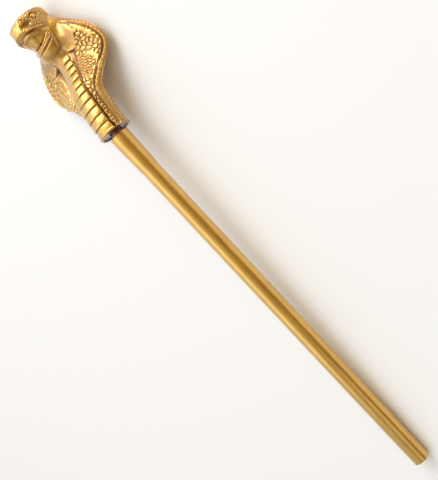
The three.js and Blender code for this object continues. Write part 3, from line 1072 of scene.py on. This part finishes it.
def store_tone(piece):
    """Store painted shade, 0, the plain coat, 0.5, or painted highlight, 1, on each corner."""
    front, side, up = corners_of(piece)[0].T
    near = np.abs(side)
    # Painted shade in the hollow before the eye.
    hollow_shade = 1 - ease(0.3, 1.2, in_oval(front, up, SHADED_HOLLOW, SHADED_HOLLOW_SIZE))
    hollow_shade *= ease(5, 7.5, near) * ease(-4, -1, front)
    # Painted highlight on the snout's pad.
    pad = ease(-0.5, 0.5, 6.8 - near) * ease(4, 6, front) * ease(110.5, 112.5, up)
    pad *= 1 - ease(119, 120.5, up)
    # Painted shade on the collar's foot and in its recess, where the tube's bell shades it.
    recess_shade = 1 - ease(-0.1, 0.5, up - front * COLLAR_TILT)
    in_recess = (np.hypot(front, side) < RECESS_RADIUS + 0.3) & (up < 2.5)
    recess_shade = np.maximum(0.7 * recess_shade, in_recess)
    upper, lower = (above_line(front, up, line) for line in (UPPER_LIP, LOWER_LIP))
    share = mouth_share(upper, lower)
    in_mouth = (upper < 0) & (lower > 0) & (front > -16) & (up > 90)
    # Painted highlight on the flats either side of the tongue.
    bed = in_mouth * ease(5, 6.5, near) * ease(0.3, 0.5, share) * (1 - ease(0.84, 0.9, share))
    # Painted highlight on the eye.
    eye = np.hypot(front - EYE[0], up - EYE[1]) < EYE_RADIUS
    level = level_up(front, up)
    out, off = on_skin(front, near, level)
    # Painted shade on the throat below the jaw.
    neck_shade = ease(6, 12, near) * (1 - ease(26, 33, near)) * (off < 6)
    neck_shade *= ease(78, 84, up) * (1 - ease(98, 108, up))
    # Painted shade in the groove beside the belly column.
    width = along(GROOVE_WIDTH, level)
    groove_shade = ridge(out - 0.3 - width / 2, width / 2 + 0.6) * (np.abs(off) < 2.5)
    groove_shade *= 1 - ease(-1, 0.5, up - along(THROAT_SILL, near))
    # Painted shade along the hood's edge.
    inset = to_path(np.stack([front, near, level], axis=-1), rim_path)[0]
    edge = (1 - ease(0.8, 1.6, inset)) * (up < 100)
    tone = 0.5 + HOLLOW_SHADE_TONE * hollow_shade + PAD_HIGHLIGHT_TONE * pad + RECESS_SHADE_TONE * recess_shade + BED_HIGHLIGHT_TONE * bed
    tone += EYE_HIGHLIGHT_TONE * eye + NECK_SHADE_TONE * neck_shade + GROOVE_SHADE_TONE * groove_shade + EDGE_SHADE_TONE * edge
    piece.data.attributes.new("tone", "FLOAT", "POINT").data.foreach_set("value", tone)


depth = store_depth(cobra)
store_tone(cobra)
print("depth spread", np.percentile(depth, [2, 25, 50, 75, 98]).round(3))


# %% Material helpers
def new_material(name):
    material = bpy.data.materials.new(name)
    material.use_nodes = True
    return material, material.node_tree, material.node_tree.nodes["Principled BSDF"]


def set_inputs(node, values):
    for socket, value in values.items():
        node.inputs[socket].default_value = value


def noise(tree, coordinates, scale, detail, roughness=0.5):
    node = tree.nodes.new("ShaderNodeTexNoise")
    set_inputs(node, {"Scale": scale, "Detail": detail, "Roughness": roughness})
    tree.links.new(coordinates, node.inputs["Vector"])
    return node.outputs["Fac"]


def ramp(tree, value, stops):
    node = tree.nodes.new("ShaderNodeValToRGB")
    tree.links.new(value, node.inputs["Fac"])
    elements = node.color_ramp.elements
    while len(elements) < len(stops):
        elements.new(0.5)
    for element, (place, colour) in zip(elements, stops):
        element.position = place
        element.color = (*colour, 1) if len(colour) == 3 else (colour[0],) * 3 + (1,)
    return node.outputs["Color"]


def blend_by(tree, kind, amount, a, b):
    node = tree.nodes.new("ShaderNodeMix")
    node.data_type = "RGBA"
    node.blend_type = kind
    if isinstance(amount, float):
        node.inputs["Factor"].default_value = amount
    else:
        tree.links.new(amount, node.inputs["Factor"])
    tree.links.new(a, node.inputs["A"])
    tree.links.new(b, node.inputs["B"])
    return node.outputs["Result"]


def bump(tree, height, distance, strength, normal=None):
    node = tree.nodes.new("ShaderNodeBump")
    set_inputs(node, {"Distance": distance, "Strength": strength})
    tree.links.new(height, node.inputs["Height"])
    if normal is not None:
        tree.links.new(normal, node.inputs["Normal"])
    return node.outputs["Normal"]


# %% Lacquer
LACQUER_INDEX = 1.75


def lacquer(shader, roughness):
    """A clear coat over the gold: it keeps highlights pale while the shade stays deep."""
    set_inputs(shader, {"Metallic": 1.0, "Coat Weight": 1.0})
    set_inputs(shader, {"Coat IOR": LACQUER_INDEX, "Coat Roughness": roughness})


# %% Gold of the cobra
# Colours from painted shade in the hollows to painted highlight on the raised places.
GOLD_PAINTED_SHADE = (0.20, 0.060, 0.002)
GOLD_LOW = (0.56, 0.26, 0.015)
GOLD_LEVEL = (0.82, 0.465, 0.06)
GOLD_PAINTED_HIGHLIGHT = (0.97, 0.64, 0.14)


def cobra_gold():
    material, tree, shader = new_material("cobra_gold")
    coordinates = tree.nodes.new("ShaderNodeTexCoord").outputs["Object"]
    depth = tree.nodes.new("ShaderNodeAttribute")
    depth.attribute_name = "depth"
    # Painted shade in the hollows and painted highlight on the raised places, by the depth of the
    # relief.
    level = ramp(tree, depth.outputs["Fac"], [
        (0.38, GOLD_PAINTED_SHADE), (0.46, GOLD_LOW), (0.51, GOLD_LEVEL), (0.62, GOLD_PAINTED_HIGHLIGHT),
    ])
    patches = noise(tree, coordinates, 90, 4)
    tint = ramp(tree, patches, [(0.35, (0.88, 0.80, 0.66)), (0.65, (1.0, 1.0, 1.0))])
    colour = blend_by(tree, "MULTIPLY", 1.0, level, tint)
    # The tone attribute by a ramp: painted shade below 0.5 and painted highlight above it.
    tone = tree.nodes.new("ShaderNodeAttribute")
    tone.attribute_name = "tone"
    toned = ramp(tree, tone.outputs["Fac"], [
        (0.0, (0.22, 0.10, 0.04)), (0.5, (0.84, 0.82, 0.78)), (0.8, (1.0, 1.0, 1.0)),
    ])
    colour = blend_by(tree, "MULTIPLY", 1.0, colour, toned)
    tree.links.new(colour, shader.inputs["Base Color"])
    lacquer(shader, 0.22)
    dull = ramp(tree, depth.outputs["Fac"], [(0.40, (0.5,)), (0.55, (0.27,))])
    smears = noise(tree, coordinates, 260, 5, 0.6)
    rough = blend_by(
        tree, "ADD", 0.25, dull,
        ramp(tree, smears, [(0.4, (0.0,)), (0.7, (0.45,))]),
    )
    tree.links.new(rough, shader.inputs["Roughness"])
    grain = noise(tree, coordinates, 2600, 3)
    ripples = noise(tree, coordinates, 420, 3)
    soft = bump(tree, ripples, 0.0004, 0.25)
    tree.links.new(bump(tree, grain, 0.00008, 0.25, soft), shader.inputs["Normal"])
    return material


cobra.data.materials.clear()
cobra.data.materials.append(cobra_gold())


# %% Gold of the shaft
def shaft_gold():
    material, tree, shader = new_material("shaft_gold")
    coordinates = tree.nodes.new("ShaderNodeTexCoord").outputs["Object"]
    stretch = tree.nodes.new("ShaderNodeMapping")
    set_inputs(stretch, {"Rotation": (0, math.asin(UP[2]), 0), "Scale": (0.03, 1, 1)})
    tree.links.new(coordinates, stretch.inputs["Vector"])
    lengthwise = stretch.outputs["Vector"]
    streaks = noise(tree, lengthwise, 900, 4, 0.6)
    patches = noise(tree, coordinates, 60, 4)
    base = ramp(tree, patches, [(0.35, (0.69, 0.39, 0.05)), (0.65, (0.75, 0.44, 0.065))])
    tint = ramp(tree, streaks, [(0.3, (0.92, 0.88, 0.8)), (0.6, (1.0, 1.0, 1.0))])
    colour = blend_by(tree, "MULTIPLY", 1.0, base, tint)
    tree.links.new(colour, shader.inputs["Base Color"])
    lacquer(shader, 0.25)
    rough = ramp(tree, streaks, [(0.3, (0.24,)), (0.7, (0.34,))])
    tree.links.new(rough, shader.inputs["Roughness"])
    grain = noise(tree, lengthwise, 2400, 3)
    tree.links.new(bump(tree, grain, 0.00006, 0.2), shader.inputs["Normal"])
    return material


shaft.data.materials.clear()
shaft.data.materials.append(shaft_gold())

# %% [markdown]
# ## Table and light
#
# Polished gold shows what is around it. A pale table, a wide soft light overhead and a dim,
# warm side of the room, low down behind the viewer, give the long bright and dark bands
# along the tube. The room is a ramp of shades from that side over the top to the far side.

# %% Table
TABLE_SIZE = 6
bpy.ops.mesh.primitive_plane_add(size=TABLE_SIZE)
table = bpy.context.object
table.name = "table"
table_paint, _, table_shader = new_material("table_paint")
set_inputs(table_shader, {"Base Color": (0.93, 0.93, 0.93, 1), "Roughness": 0.9})
table.data.materials.append(table_paint)

# %% Lights
def soft_box(name, place, aim, width, depth, power):
    """A flat area light at a place in metres, turned to its aim."""
    light = bpy.data.lights.new(name, "AREA")
    light.shape = "RECTANGLE"
    light.size, light.size_y, light.energy = width, depth, power
    lamp = bpy.data.objects.new(name, light)
    bpy.context.scene.collection.objects.link(lamp)
    lamp.matrix_world = Matrix.Translation(place) @ (
        (Vector(place) - Vector(aim)).to_track_quat("Z", "Y").to_matrix().to_4x4()
    )
    return lamp


soft_box("overhead", (0.1, 0.5, 1.2), (0, 0, 0), 1.6, 0.8, 2)
soft_box("side", (-0.9, -0.9, 0.9), (0, 0, 0), 0.8, 0.8, 1.2)
soft_box("beyond the head", (1.25, -0.25, 0.8), (0.15, 0, 0), 0.8, 1.0, 10)

# %% Room
ROOM_SHADES = [
    (0.0, (0.50, 0.37, 0.18)), (0.06, (0.42, 0.29, 0.11)), (0.17, (0.52, 0.40, 0.20)),
    (0.33, (0.68, 0.61, 0.46)), (0.5, (0.92, 0.91, 0.88)), (0.62, (1.14, 1.16, 1.21)),
    (0.82, (1.08, 1.12, 1.18)), (1.0, (0.90, 0.96, 1.03)),
]
ROOM_LENGTH = [(0.0, (0.4,)), (0.32, (0.62,)), (0.5, (1.0,)), (1.0, (1.1,))]
room = bpy.data.worlds.new("room")
bpy.context.scene.world = room
room.use_nodes = True
tree = room.node_tree
across = tree.nodes.new("ShaderNodeSeparateXYZ")
tree.links.new(tree.nodes.new("ShaderNodeTexCoord").outputs["Generated"], across.inputs["Vector"])
layers = []
for axis, stops in (("Y", ROOM_SHADES), ("X", ROOM_LENGTH)):
    share = tree.nodes.new("ShaderNodeMapRange")
    share.inputs["From Min"].default_value = -1
    tree.links.new(across.outputs[axis], share.inputs["Value"])
    layers.append(ramp(tree, share.outputs["Result"], stops))
shades = blend_by(tree, "MULTIPLY", 1.0, *layers)
tree.links.new(shades, tree.nodes["Background"].inputs["Color"])
bpy.context.scene.view_settings.view_transform = "Standard"

# %% Finish
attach(cobra, "root")
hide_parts("cobra_head")
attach(shaft, "root")
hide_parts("shaft")
